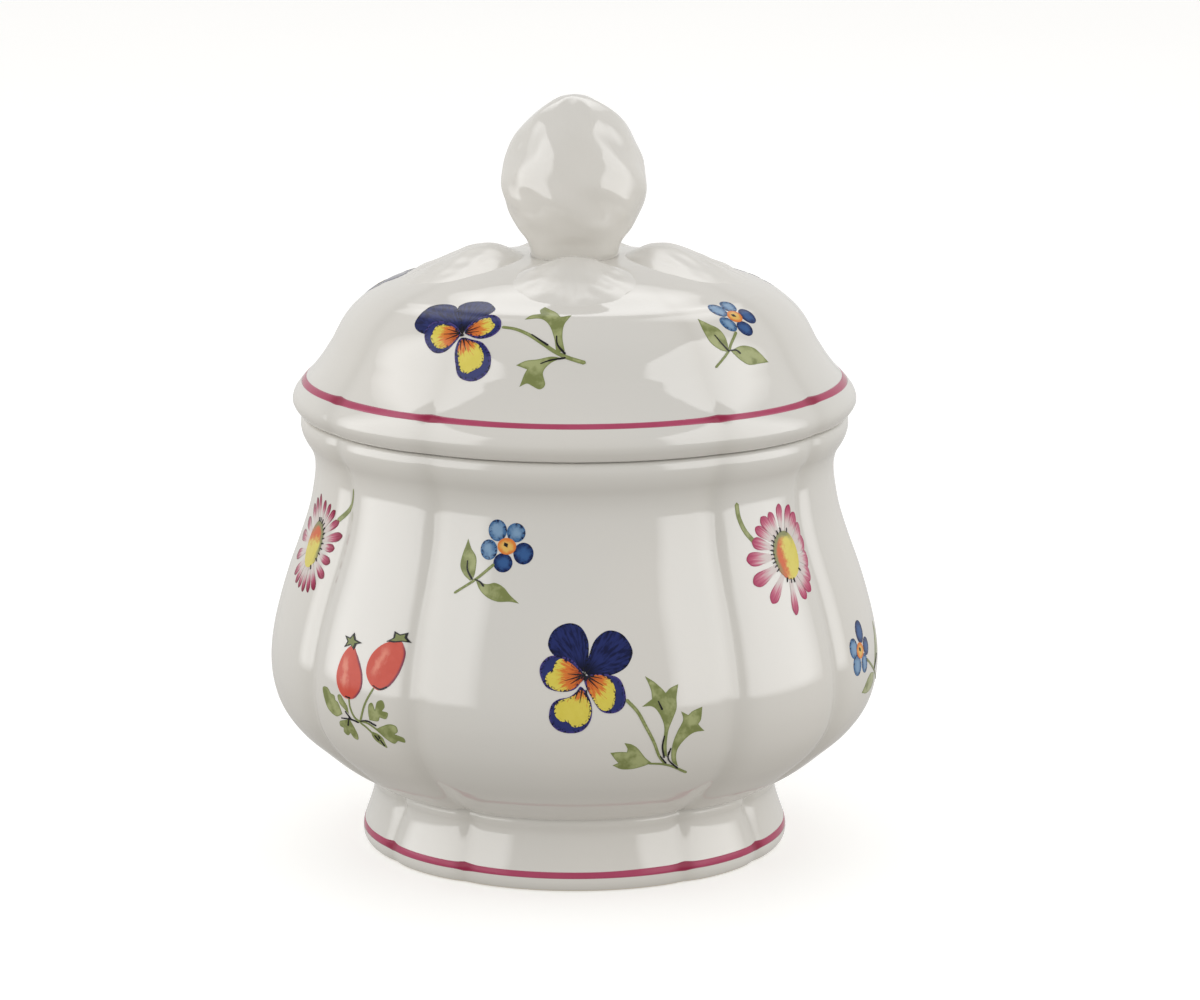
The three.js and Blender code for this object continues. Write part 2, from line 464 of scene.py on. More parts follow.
def daisy_pink(name, middle, tip, line):
    """A daisy's petal: rose at the tip, fading to the porcelain's white at its root, with a fine outline."""
    paint = Paint(name)
    edge, along, across = paint.attribute("ink")
    streaks = rays(paint, across, along, 1.6, 0.5)
    tint = paint.math("ADD", along, paint.about_zero(streaks, 0.9))
    pale = paint.mix(paint.between(tint, 0.28, 0.7), linear(217, 206, 203), middle)
    rose = paint.mix(paint.between(tint, 0.55, 0.95), pale, tip)
    rim = paint.math("MULTIPLY", paint.between(edge, 0.3, 0.02), paint.between(along, 0.2, 0.8))
    return paint.finish(paint.mix(paint.math("MULTIPLY", rim, 0.75), rose, line))


def daisy_eye():
    """A daisy's middle: yellow, with an orange shadow to one side inside a grey-green rim."""
    paint = Paint("daisy_eye")
    edge, side, height = paint.attribute("ink")
    brush = paint.noise(paint.position(), 1200.0, 3.0, 0.6)
    spread = paint.about_zero(brush, 0.9)
    yellow = paint.mix(brush, linear(214, 200, 90), linear(228, 216, 120))
    shadow = paint.between(paint.math("ADD", side, spread), 0.1, -0.45)
    orange = paint.mix(shadow, yellow, linear(212, 104, 62))
    rim = paint.between(paint.math("ADD", edge, spread), 1.15, 0.45)
    upper_left = paint.between(paint.math("SUBTRACT", height, side), -0.6, 0.7)
    return paint.finish(paint.mix(paint.math("MULTIPLY", rim, upper_left), orange, linear(138, 140, 96)))


def hip_coral():
    """A rose hip: coral, with a pale streak of light on one side and a plum shadow along the other."""
    paint = Paint("hip_coral")
    edge, side, height = paint.attribute("ink")
    brush = paint.noise(paint.position(), 700.0, 3.0, 0.6)
    spread = paint.about_zero(brush, 0.8)
    coral = paint.mix(brush, linear(200, 78, 64), linear(214, 96, 80))
    near = paint.math("ABSOLUTE", paint.math("ADD", side, 0.35))
    lit_width = paint.between(paint.math("ADD", near, spread), 0.34, 0.0)
    lit = paint.math("MULTIPLY", lit_width, paint.between(paint.math("ABSOLUTE", height), 0.75, 0.3))
    light = paint.mix(lit, coral, linear(228, 140, 120))
    shadow = paint.math("MULTIPLY", paint.between(edge, 0.5, 0.05), paint.between(side, 0.1, 0.7))
    return paint.finish(paint.mix(shadow, light, linear(128, 62, 84)))


glaze = porcelain_glaze()
unglazed = bisque()
PAINTS = {
    "rose": rose_band(),
    "ink": ink(),
    "dark": petal_dark(),
    "violet": petal_violet(),
    "yellow": petal_yellow(),
    "sky": petal_blue("petal_sky", linear(128, 160, 192), linear(64, 106, 152)),
    "navy": petal_blue("petal_navy", linear(56, 94, 148), linear(26, 48, 100)),
    "orange": eye_orange(),
    "green": leaf_green(),
    "pink": daisy_pink("daisy_rose", linear(202, 116, 140), linear(176, 62, 100), linear(158, 50, 88)),
    "crimson": daisy_pink("daisy_crimson", linear(188, 84, 116), linear(142, 18, 62),
                          linear(118, 14, 50)),
    "daisy_eye": daisy_eye(),
    "coral": hip_coral(),
}


# ---- porcelain ----


def add_turned(name, skins, body, nodes):
    """A turned, panelled piece whose outline runs through the skins in turn."""

    def rows(azimuth):
        column = [skin.bare(azimuth, skin.along) for skin in skins]
        return np.vstack([part[:-1] for part in column[:-1]] + column[-1:])

    points, faces = lathe(rows)
    points[:, 2] = np.maximum(points[:, 2], STANDING)
    piece = new_piece(name, points, faces, [glaze], body, nodes)
    azimuths = np.degrees(np.arctan2(points[:, 0], -points[:, 1]))
    # How far into a groove each point lies, for the glaze's painted shade in the grooves.
    groove_shade = groove(azimuths) * smoothstep(np.hypot(points[:, 0], points[:, 1]), 20, 30)
    set_attribute(piece, "groove_shade", groove_shade[:, None] * (1, 0, 0))
    return piece


def add_bowl():
    mouth = Skin(MOUTH, 0.5, MOUTH_SHARE)
    skins = [Skin(UNDERSIDE, 1.2, 0.0), foot_side, belly, mouth, Skin(INSIDE, 1.6, INSIDE_SHARE)]
    piece = add_turned("porcelain_bowl", skins, "bowl", ["bowl", "foot_ring"])
    piece.data.materials.append(unglazed)
    for face in piece.data.polygons:
        if face.center.z < UNGLAZED_BELOW * MM:
            face.material_index = 1
    return piece


def add_lid():
    skins = [Skin(LID_INSIDE, 1.0, 0.0), dome]
    return add_turned("porcelain_lid", skins, "lid", ["lid", "locating_ring"])


def add_knob():
    """A bud: rows of blunt, barely raised petals above a root that spreads between the leaves."""
    run = spline(KNOB, 0.4)

    def rows(azimuth):
        angle = np.radians(azimuth)
        radius, height = run[:, 0], run[:, 1]
        rise = np.clip((height - BUD_FOOT) / BUD_TALL, 0, 1)
        petals = 0.0
        for start, end, count, turn in PETAL_ROWS:
            swing = count / 2 * (angle - math.radians(turn)) + 0.6 * (rise - start)
            petal = np.sqrt(np.cos(swing) ** 2 + 0.02) - 0.66
            shown = smoothstep(rise, start, start + 0.16) * (1 - smoothstep(rise, end - 0.2, end))
            petals = petals + petal * shown
        lumps = 0.16 * np.sin(3 * angle + 11 * rise) + 0.12 * np.sin(5 * angle - 15 * rise + 1)
        lumps += 0.1 * np.sin(7 * angle + 23 * rise + 2)
        fade = smoothstep(rise, 0.02, 0.2) * smoothstep(radius, 0.2, 3)
        root = 1 - smoothstep(height, 99.4, 102)
        spread = root * ROOT_SPREAD * -np.cos(4 * angle) * smoothstep(height, 97.2, 98.4)
        out = radius + fade * (BUD_RELIEF * petals + lumps) + spread
        lift = root * ROOT_RISE * (0.5 + 0.5 * np.cos(4 * angle)) * smoothstep(radius, 4, 8)
        return np.stack([out * np.sin(angle), -out * np.cos(angle), height + lift], -1)

    points, faces = lathe(rows, 240)
    piece = new_piece("porcelain_knob", points, faces, [glaze], "lid", ["knob"])
    set_attribute(piece, "groove_shade", 0 * points)
    return piece


def along_dome(radius):
    """How far along the lid's profile a radius lies, above the rolled edge."""
    edge_rows = 20
    return np.interp(-radius, -dome.run[edge_rows:, 0], dome.along[edge_rows:])


def add_leaf(side, azimuth, half_width):
    """A moulded leaf that swells from the lid beside the knob's root. Its margin is scalloped and melts
    into the lid, and a midrib and side veins quilt it softly."""
    rings = (np.arange(LEAF_RINGS) + 1) / LEAF_RINGS
    turns = np.arange(LEAF_COLUMNS) * math.tau / LEAF_COLUMNS
    t, turn = np.meshgrid(rings, turns, indexing="ij")
    half_length = (LEAF_TIP - LEAF_ROOT) / 2
    oval = half_length * half_width / np.hypot(half_width * np.cos(turn), half_length * np.sin(turn))
    scallops = 0.045 * np.abs(np.cos(4.5 * turn)) * smoothstep(np.cos(turn), -0.8, 0.0)
    reach = LEAF_ROOT + half_length + t * oval * (0.96 + scallops) * np.cos(turn)
    sideways = t * oval * (0.96 + scallops) * np.sin(turn)
    along = along_dome(np.hypot(reach, sideways))
    pillow = (1 - t**2.4) ** 0.9
    to_tip = (reach - LEAF_ROOT) / (LEAF_TIP - LEAF_ROOT)
    hump = np.exp(-(((to_tip - 0.27) / 0.3) ** 2) - (sideways / (0.62 * half_width)) ** 2)
    swell = pillow * (LEAF_SWELL + LEAF_HUMP * hump)
    vein = np.cos(math.tau * (reach - 0.75 * np.abs(sideways)) / 5.2)
    midrib = np.exp(-((sideways / 1.2) ** 2)) * smoothstep(to_tip, 0.2, 0.5)
    quilt = 0.045 * vein * smoothstep(np.abs(sideways), 0.4, 3) - 0.2 * midrib
    dimples = 0.045 * np.sin(1.1 * reach + 0.6 * sideways)
    dimples = dimples * np.cos(1.0 * sideways - 0.4 * reach + azimuth)
    height = swell + smoothstep(1 - t, 0.02, 0.3) * (quilt + dimples) - 0.12
    columns_at = azimuth + np.degrees(np.arctan2(sideways, reach))
    top = dome.at(columns_at, along, height)
    under = dome.at(columns_at, along, np.full_like(height, LEAF_SUNK))
    middle = np.array([azimuth]), np.array([along_dome(LEAF_ROOT + half_length)])
    peak = dome.at(*middle, np.array([float(height[0].mean())]))
    pit = dome.at(*middle, np.array([LEAF_SUNK]))
    points = np.vstack([top.reshape(-1, 3), under.reshape(-1, 3), peak, pit])
    sheet = LEAF_RINGS * LEAF_COLUMNS
    rim = sheet - LEAF_COLUMNS
    faces = []
    for c in range(LEAF_COLUMNS):
        d = (c + 1) % LEAF_COLUMNS
        for low in range(0, rim, LEAF_COLUMNS):
            high = low + LEAF_COLUMNS
            quad = (low + c, high + c, high + d, low + d)
            faces += [quad, tuple(sheet + k for k in reversed(quad))]
        faces.append((rim + c, sheet + rim + c, sheet + rim + d, rim + d))
        faces += [(c, d, 2 * sheet), (sheet + d, sheet + c, 2 * sheet + 1)]
    name = "porcelain_leaf_" + side
    piece = new_piece(name, points, faces, [glaze], "lid", ["leaf_" + side])
    set_attribute(piece, "groove_shade", 0 * points + (0, 1, 0))
    return piece


# ---- painted bands ----


def add_band(name, skin, middle, width, body, seed):
    """A ring of enamel round a skin, brushed by hand: its width and height wander a little."""
    random = np.random.default_rng(seed)
    columns = 720
    azimuth = np.arange(columns) * 360 / columns
    waves = [(k, random.uniform(-1, 1), random.uniform(0, 360)) for k in (2, 3, 5, 8, 13, 21)]
    wander = sum(a / k * np.sin(np.radians(k * azimuth + b)) for k, a, b in waves)
    press = groove(azimuth)
    half = 0.5 * width * (1 + 0.25 * wander + 0.35 * press**3)
    centre = middle + 0.12 * wander
    rings, ink_values = [], []
    profile = [(-1, -0.03), (-1, 0.6), (-0.5, 1), (0.5, 1), (1, 0.6), (1, -0.03)]
    for offset, rise in profile:
        rings.append(skin.at(azimuth, centre + offset * half, np.full(columns, rise * PAINT_LIFT)))
        ink_values.append(np.stack([press, np.full(columns, abs(offset)), 0 * press], -1))
    points = np.vstack(rings)
    faces = []
    for ring in range(len(profile)):
        following = (ring + 1) % len(profile)
        faces += ring_faces(ring * columns, following * columns, columns)
    piece = new_piece(name, points, faces, [PAINTS["rose"]], body)
    set_attribute(piece, "ink", np.vstack(ink_values))
    return piece


# ---- drawing the sprigs, in millimetres from the middle of each flower, y upwards ----


def outline(points, step=0.22):
    """A closed outline through the points, smooth except at those marked SHARP."""
    p = [np.array(q[:2], float) for q in points]
    sharp = [len(q) > 2 for q in points]
    run = []
    for i in range(len(p)):
        a, b, c, d = p[i - 1], p[i], p[(i + 1) % len(p)], p[(i + 2) % len(p)]
        start = (c - b) if sharp[i] else (c - a) / 2
        end = (c - b) if sharp[(i + 1) % len(p)] else (d - b) / 2
        count = max(2, math.ceil(np.hypot(*(c - b)) / step))
        t = np.arange(count)[:, None] / count
        hermite = (2 * t**3 - 3 * t**2 + 1) * b + (t**3 - 2 * t**2 + t) * start
        run.append(hermite + (3 * t**2 - 2 * t**3) * c + (t**3 - t**2) * end)
    return np.vstack(run)


def all_sharp(points):
    return [(x, y, SHARP) for x, y in points]


def stroke(points, start, end):
    """The outline of a brush stroke along the points, from one width to another."""
    run = spline(points, 0.3)
    along = np.gradient(run, axis=0)
    along /= np.linalg.norm(along, axis=1, keepdims=True)
    side = np.stack([-along[:, 1], along[:, 0]], -1)
    half = np.linspace(start, end, len(run))[:, None] / 2
    tip = run[-1:] + along[-1:] * half[-1]
    tail = run[:1] - along[:1] * half[0]
    return np.vstack([run - side * half, tip, (run + side * half)[::-1], tail])


def ellipse(x, y, wide, tall, count=28):
    t = np.arange(count) * 2 * math.pi / count
    return np.stack([x + wide * np.cos(t), y + tall * np.sin(t)], -1)


def inside(points, loop):
    x, y = points[:, :1], points[:, 1:]
    ax, ay = loop[:, 0], loop[:, 1]
    bx, by = np.roll(ax, -1), np.roll(ay, -1)
    rise = np.where(by == ay, 1e-9, by - ay)
    crosses = ((ay > y) != (by > y)) & (x < (bx - ax) * (y - ay) / rise + ax)
    return crosses.sum(1) % 2 == 1


def edge_distance(points, loop):
    a, b = loop, np.roll(loop, -1, 0)
    side = b - a
    length = np.maximum((side**2).sum(1), 1e-12)
    t = np.clip(((points[:, None] - a) * side).sum(2) / length, 0, 1)
    return np.linalg.norm(points[:, None] - (a + t[..., None] * side), axis=2).min(1)


def fill(loop, spacing=0.45):
    """A triangulated sheet inside a closed outline: its points and its triangles."""
    low, high = loop.min(0), loop.max(0)
    x, y = np.meshgrid(np.arange(low[0], high[0], spacing), np.arange(low[1], high[1], spacing))
    grid = np.stack([x.ravel(), y.ravel()], -1)
    grid = grid[inside(grid, loop)]
    if len(grid):
        grid = grid[edge_distance(grid, loop) > 0.4 * spacing]
    points = np.vstack([loop, grid])
    count = len(loop)
    edges = [(i, (i + 1) % count) for i in range(count)]
    result = delaunay_2d_cdt([Vector(p) for p in points], edges, [], 1, 1e-5)
    return np.array([tuple(p) for p in result[0]]), [tuple(f) for f in result[2]]


class Drawing:
    """Painted shapes of one sprig. Each has an outline, a paint, a layer and what its paint reads:
    the distance from its edge, and two more numbers."""

    def __init__(self):
        self.shapes = []

    def add(self, loop, paint, layer=1, reads=None, spacing=0.45):
        points, faces = fill(loop, spacing)
        edge = edge_distance(points, loop)
        more = reads(points) if reads else np.zeros((len(points), 2))
        self.shapes.append((points, faces, paint, layer, np.column_stack([edge, more])))

    def turned(self, mirror, turn):
        """Mirrors and turns everything drawn so far."""
        cos, sin = math.cos(math.radians(turn)), math.sin(math.radians(turn))
        moved = []
        for points, faces, paint, layer, values in self.shapes:
            p = points * (-1, 1) if mirror else points
            p = np.stack([p[:, 0] * cos - p[:, 1] * sin, p[:, 0] * sin + p[:, 1] * cos], -1)
            moved.append((p, [f[::-1] for f in faces] if mirror else faces, paint, layer, values))
        self.shapes = moved
        return self


def from_middle(points):
    """Reads for a petal: its angle round the flower and its distance from the middle."""
    return np.stack([np.arctan2(points[:, 1], points[:, 0]), np.hypot(points[:, 0], points[:, 1])], -1)


def paint_sprig(name, drawing, skin, azimuth, along, body):
    """Lays a drawing on a skin as one piece, each shape a closed sheet sunk a little in the glaze."""
    points, faces, values, slots = [], [], [], []
    names = sorted({shape[2] for shape in drawing.shapes})
    total = 0
    for flat, triangles, paint, layer, reads in drawing.shapes:
        place = along + flat[:, 1]
        turn = azimuth + np.degrees(flat[:, 0] / skin.radius(place))
        top = skin.at(turn, place, np.full(len(flat), layer * PAINT_LIFT))
        under = skin.at(turn, place, np.full(len(flat), PAINT_SUNK))
        count = len(flat)
        points += [top, under]
        values += [reads, reads]
        border = set()
        for a, b, c in triangles:
            if np.cross(flat[b] - flat[a], flat[c] - flat[a]) < 0:
                a, b, c = a, c, b
            faces.append((total + a, total + b, total + c))
            faces.append((total + count + c, total + count + b, total + count + a))
            slots += [names.index(paint)] * 2
            border |= {(a, b), (b, c), (c, a)}
        for a, b in sorted(border):
            if (b, a) not in border:
                faces.append((total + b, total + a, total + count + a, total + count + b))
                slots.append(names.index(paint))
        total += 2 * count
    materials = [PAINTS[n] for n in names]
    piece = new_piece(name, np.vstack(points), faces, materials, body)
    piece.data.polygons.foreach_set("material_index", slots)
    piece.data.set_sharp_from_angle(angle=math.radians(40))
    set_attribute(piece, "ink", np.vstack(values))
    return piece


PANSY_LINES = [
    (176, 0.5, 2.6), (196, 0.6, 3.2), (212, 0.9, 2.6), (-12, 0.6, 2.8), (-30, 0.7, 3.3), (-46, 1, 3),
    (-84, 2.4, 4.2), (-100, 2.2, 4.4), (-112, 2.6, 4), (100, -0.8, 1.2), (135, -0.6, 1.4),
    (45, -0.7, 1.2),
]
LID_PANSY_DARK = [
    [(-0.3, 0.6), (-2, 3.3), (-4.4, 6), (-7.1, 6.2), (-9.5, 4.6), (-10.2, 1.5), (-9.4, -0.1),
     (-7.3, -0.9), (-3.9, -0.8), (-1.5, 0)],
    [(-0.4, 0.8), (-2.7, 4), (-3.9, 6.2), (-2.8, 8), (0.1, 8.5), (2.4, 6.9), (2.8, 5.6), (1.9, 3.7),
     (0.2, 1.2)],
]
LID_PANSY_LOWER = [
    [(0.3, 0.4), (0.5, 2.1), (1.5, 3.9), (3.2, 4.7), (5, 3.7), (5.9, 1.6), (5.2, 0), (3.4, -0.7),
     (1.4, -0.3)],
    [(-0.3, 0), (-2.2, 1.6), (-4.4, 2), (-6.5, 1.4), (-7, -0.5), (-5.9, -2.5), (-3.8, -3.9),
     (-1.9, -3.6), (-0.7, -2)],
    [(0.2, -0.9), (2.3, -1), (4.3, -1.5), (6.3, -3.6), (6.5, -6.2), (4.6, -7.9), (1.8, -7.5),
     (0.5, -5.2), (-0.1, -3)],
]
LID_PANSY_HEARTS = [
    [(0.5, 0.3), (0.9, 1.9), (1.9, 3.3), (3.1, 3.9), (3.9, 3, SHARP), (4.8, 2.2), (4.6, 0.8),
     (3.3, -0.2), (1.5, -0.1)],
    [(-0.5, -0.1), (-2.2, 1.1), (-4.2, 1.4), (-5.3, 0.7), (-5.4, -0.5, SHARP), (-5.2, -1.7), (-3.7, -3),
     (-2.1, -3), (-0.9, -1.8)],
    [(0.5, -1.2), (2.2, -1.3), (3.9, -2), (5.2, -3.8), (5.1, -5.4), (4, -6.2, SHARP), (3, -6.8),
     (1.7, -6.3), (1, -4.8), (0.4, -3)],
]
LID_PANSY_LINES = [
    (14, 0.6, 2.8), (34, 0.7, 3), (52, 0.8, 2.2), (170, 0.6, 3), (190, 0.6, 3.2), (212, 0.8, 2.8),
    (-42, 1.3, 3.4), (-58, 1.3, 3.6), (-74, 1.6, 3.2), (110, -0.5, 1.6), (140, -0.5, 1.4),
    (80, -0.5, 1.4),
]
PANSY_DARK = [
    [(0.2, 0.5), (0.6, 2.4), (0.6, 5.3), (-0.6, 7.5), (-2.6, 8), (-4.7, 6.9), (-5.6, 4.8), (-4.8, 3.1),
     (-2.7, 2), (-0.8, 0.9)],
    [(0.2, 0.3), (0.7, 2.9), (1.7, 5.4), (3.7, 6.8), (6, 6.1), (7.5, 3.7), (7, 1.7), (5.7, 0.5),
     (3.6, -0.2), (1.7, -0.1)],
]
PANSY_LOWER = [
    [(0, -0.2), (-1.5, 2), (-3.6, 2.9), (-5.5, 2.8), (-6.8, 1.4), (-6.8, -0.3), (-5.8, -2), (-3.7, -2.6),
     (-1.7, -2.3), (-0.6, -1.2)],
    [(0, -0.4), (1.5, 0.1), (3.6, 0), (5.4, -0.7), (6.3, -2.7), (6.3, -4.6), (5.2, -5.8), (3.5, -6),
     (2.2, -5.3), (0.9, -3.2), (0.2, -1.8)],
    [(-0.6, -1.8), (0.4, -2.9), (1.1, -4.9), (0.9, -7.1), (-0.4, -8.7), (-2.4, -9.1), (-4.4, -8.5),
     (-5.5, -6.9), (-5.2, -4.8), (-4.1, -3.8), (-2.4, -3.4), (-1.3, -2.6)],
]
PANSY_HEARTS = [
    [(-0.2, -0.2), (-1.7, 1.5), (-3.4, 2.5), (-4.4, 2), (-4.9, 0.8, SHARP), (-6, -0.2), (-5.8, -1.5),
     (-4.1, -2.5), (-2.2, -2.3), (-0.6, -1.2)],
    [(0.5, -0.4), (2.1, 0), (3.9, -0.6), (4.7, -2.1), (4.8, -3.8), (4.3, -5.1), (3.3, -5.6), (2.2, -5.1),
     (0.9, -3.1), (0.4, -1.6)],
    [(-0.4, -2.3), (0.4, -3.5), (1, -5.2), (0.7, -6.8), (-0.2, -7.8), (-1.7, -8.1), (-2.8, -7.2, SHARP),
     (-3.7, -7.2), (-4.6, -6.2), (-4.6, -4.8), (-3.9, -4), (-2.4, -3.5), (-1.3, -2.9)],
]


def draw_pansy(dark, lower, hearts, lines):
    """Two dark petals above three blue ones with yellow hearts, and dark lines at their roots. A line has
    an angle round the flower and the distances from its middle where it starts and ends."""
    drawing = Drawing()
    for petal in dark:
        drawing.add(outline(petal), "dark", 1, from_middle)
    for petal in lower:
        drawing.add(outline(petal), "violet", 2, from_middle)
    for heart in hearts:
        drawing.add(outline(heart), "yellow", 3, from_middle, 0.3)
    for angle, near, far in lines:
        turn = math.radians(angle)
        ray = np.array([math.cos(turn), math.sin(turn)])
        line = [ray * near, ray * (near + far) / 2, ray * far]
        drawing.add(stroke(line, 0.26, 0.06), "ink", 4, None, 0.3)
    return drawing


FORGET_ME_NOT = [
    # (x, y) of a petal's middle, and half its width and height
    (-2.8, -0.8, 1.4, 1.6), (-1.5, 2.3, 1.5, 1.7), (1.5, 2.1, 1.5, 1.5), (2.8, -1.1, 1.6, 1.7),
    (-0.4, -2.7, 1.55, 1.5),
]
FORGET_ME_NOT_UPRIGHT = [
    (1.2, 2.8, 1.6, 1.9), (-2.3, 0.7, 1.5, 1.7), (3.2, 0, 1.4, 1.5), (-1.7, -2.2, 1.6, 1.7),
    (1.6, -2.5, 1.4, 1.6),
]


def draw_forget_me_not(petals=FORGET_ME_NOT, navy=(3, 4)):
    """Five round petals about an orange eye. navy tells which of them are dark."""
    drawing = Drawing()
    for number, (x, y, wide, tall) in enumerate(petals):
        paint = "navy" if number in navy else "sky"
        drawing.add(ellipse(x, y, wide, tall), paint, 1, None, 0.3)
    drawing.add(ellipse(0.1, -0.1, 1.5, 1.3), "orange", 2, None, 0.3)
    dot = all_sharp([(-0.3, 0.5), (0.3, 0.3), (0.2, -0.3), (-0.4, 0)])
    drawing.add(outline(dot), "ink", 3, None, 0.3)
    return drawing


DAISY_EYE = np.array([3.0, 3.9])  # half its width and height
DAISY = [
    # (x, y) of a petal's tip, and the petal's width
    (0, 8.3, 1.5), (2.8, 7.7, 1.6), (4.7, 6, 2.4), (6.4, 3.6, 2.5), (7.2, 1, 2.5), (6.9, -1.9, 2.6),
    (5.9, -4.6, 2.5), (4.3, -6.6, 2), (2.2, -7.6, 1.7), (-1.3, -9.6, 1.5), (-6, -6.9, 1.9),
    (-8.6, -3.4, 2.2), (-8.8, 0.5, 2.3), (-7, 3.2, 2), (-5.9, 5.3, 1.7), (-4.4, 6.8, 1.8),
    (-2.5, 7.3, 1.5),
]
DAISY_FULL = [
    (-2.4, 8, 1.5), (0.6, 7.5, 1.5), (2.9, 7.3, 1.5), (4.9, 6.6, 1.6), (6.5, 5.1, 1.7), (8, 2.9, 2),
    (7.1, 0.6, 1.8), (7.1, -1.8, 1.8), (6.9, -4.4, 1.8), (5.5, -6.7, 1.7), (3.6, -7.5, 1.6),
    (1.4, -7.8, 1.6), (-0.9, -7.6, 1.7), (-3.1, -7.2, 1.8), (-5.4, -6.2, 2), (-8, -3.6, 2.3),
    (-9.2, 0, 2.4), (-7.8, 2.8, 2.1), (-6, 5.6, 1.9), (-4.2, 7, 1.6),
]


def draw_daisy(petals, paint, ticks, shadow, slim=1.0):
    """A daisy: petals that widen to their tips, an eye shadowed towards one angle, and fine dark ticks."""
    drawing = Drawing()
    for number, (x, y, width) in enumerate(petals):
        tip = np.array([x, y], float)
        root = DAISY_EYE * tip / np.hypot(*tip) * 0.98
        length = np.hypot(*(tip - root))
        ahead = (tip - root) / length
        side = np.array([-ahead[1], ahead[0]]) * slim * width / 2
        shape = [(0, 0.34), (0.3, 0.62), (0.65, 0.98), (0.87, 0.86), (1.0, 0.0)]
        loop = [root + ahead * length * t + side * w for t, w in shape]
        loop += [root + ahead * length * t - side * w for t, w in shape[-2::-1]]

        def reads(points, root=root, ahead=ahead, length=length, side=side):
            away = points - root
            return np.stack([away @ ahead / length, number + away @ side * 4 / width**2], -1)

        drawing.add(outline([tuple(q) for q in loop], 0.25), paint, 1 + number % 2, reads, 0.35)
    c, d = math.cos(math.radians(shadow)), math.sin(math.radians(shadow))
    turned = np.array([[-c, d], [-d, -c]])
    eye = ellipse(0, 0, *DAISY_EYE, 40)
    drawing.add(eye, "daisy_eye", 3, lambda points: points / DAISY_EYE @ turned, 0.35)
    for angle in ticks:
        ray = np.array([math.cos(math.radians(angle)), math.sin(math.radians(angle))])
        near, far = DAISY_EYE * ray * 0.98, DAISY_EYE * ray * 1.02 + ray * 0.5
        drawing.add(stroke([near, (near + far) / 2 + 0.05, far], 0.26, 0.16), "ink", 4, None, 0.3)
    return drawing


def draw_hip(loop_points, turn, middle, size):
    """One rose hip; its paint reads how far across and along the hip a point is."""
    drawing = Drawing()
    angle = math.radians(turn)
    right = np.array([math.cos(angle), math.sin(angle)])
    up = np.array([-math.sin(angle), math.cos(angle)])

    def reads(points):
        away = points - middle
        return np.stack([away @ right / size[0], away @ up / size[1]], -1)

    drawing.add(outline(loop_points), "coral", 2, reads, 0.35)
    return drawing.shapes


def strokes(drawing, lines, paint, layer, start, end):
    for line in lines:
        drawing.add(stroke(line, start, end), paint, layer, None, 0.3)


def leaves(drawing, outlines):
    for leaf in outlines:
        drawing.add(outline(leaf), "green", 1)


def body_pansy():
    drawing = draw_pansy(PANSY_DARK, PANSY_LOWER, PANSY_HEARTS, PANSY_LINES)
    leaves(drawing, [
        [(9.5, -0.5, SHARP), (11, -1.5), (12.3, -2.7), (12.8, -3.3, SHARP), (13.6, -2.6),
         (14.9, -2.1, SHARP), (14.6, -4.1), (14.6, -5.8), (14, -7.4), (13.3, -9.1), (13, -11.4),
         (13.1, -13.8, SHARP), (12.5, -13.2), (12.4, -11.1), (12.6, -8.8), (12.1, -7.1), (11.3, -5.8),
         (10.4, -5.2), (9, -5.2, SHARP), (10, -4.5), (10.6, -4.1, SHARP), (10.4, -2.6)],
        [(15, -15.9, SHARP), (14.6, -14), (14.9, -12.4), (16.1, -10.9), (17.6, -10), (19.4, -9.9, SHARP),
         (18.7, -9.2), (18.3, -8.7, SHARP), (18.8, -7.9), (19, -6, SHARP), (17.4, -6.5),
         (16.6, -7.1, SHARP), (15.4, -6.4, SHARP), (15.7, -7.8), (14.8, -9.5), (14.1, -11.2),
         (13.8, -13.1), (14, -14.8)],
        [(10.6, -14.7, SHARP), (9.6, -13.7), (8.4, -12), (7.4, -11.2), (6.2, -10.9, SHARP), (6.7, -11.9),
         (6.6, -12.5, SHARP), (5.4, -12.4), (4, -12.5, SHARP), (4.7, -13.6), (5.3, -14.4, SHARP),
         (4.4, -14.8, SHARP), (5.7, -15.6), (7.4, -15.7), (9.1, -15.3)],
    ])
    strokes(drawing, [[(6.6, -4.1), (8.3, -6), (9.6, -8.4), (10.9, -11), (11.8, -13.5), (13, -15.3)]],
            "green", 2, 0.55, 0.45)
    strokes(drawing, [[(10.2, -14.8), (12.3, -15.1), (14.1, -15.8), (16.4, -17.4)]], "green", 2, 0.3, 0.5)
    strokes(drawing, [
        [(12.6, -10.1), (12.3, -11.9), (12.6, -13.8)], [(13.3, -13), (13.4, -14.4), (14.9, -16.2)],
        [(12, -13.6), (12.9, -14.9)], [(11.6, -4.5), (12.2, -5.8)], [(13.7, -12.3), (13.3, -13.4)],
    ], "ink", 3, 0.18, 0.30)
    return drawing


def body_forget_me_not():
    drawing = draw_forget_me_not()
    leaves(drawing, [
        [(-6.4, 0.6, SHARP), (-5.8, -0.8), (-4.9, -2.1), (-4.8, -3.6), (-5, -5.1), (-5.6, -5.9, SHARP),
         (-6.8, -5), (-7.5, -3.7), (-7.3, -2.1), (-6.8, -0.6)],
        [(-4.7, -5.6, SHARP), (-2.9, -6.2), (-1.4, -5.9), (0, -6.5), (1.2, -7.7), (2.7, -8.9, SHARP),
         (1.2, -8.7), (-0.8, -8.8), (-2.6, -8.2), (-3.9, -7.1)],
    ])
    strokes(drawing, [[(-1.9, -3.1), (-4.7, -5.6), (-8.1, -8)]], "green", 2, 0.45, 0.35)
    strokes(drawing, [[(-6.3, -2.8), (-6.2, -4.2), (-5.3, -5.6)],
                      [(-4.8, -5.6), (-3.9, -5.9), (-3.3, -6.5)]], "ink", 3, 0.15, 0.35)
    return drawing


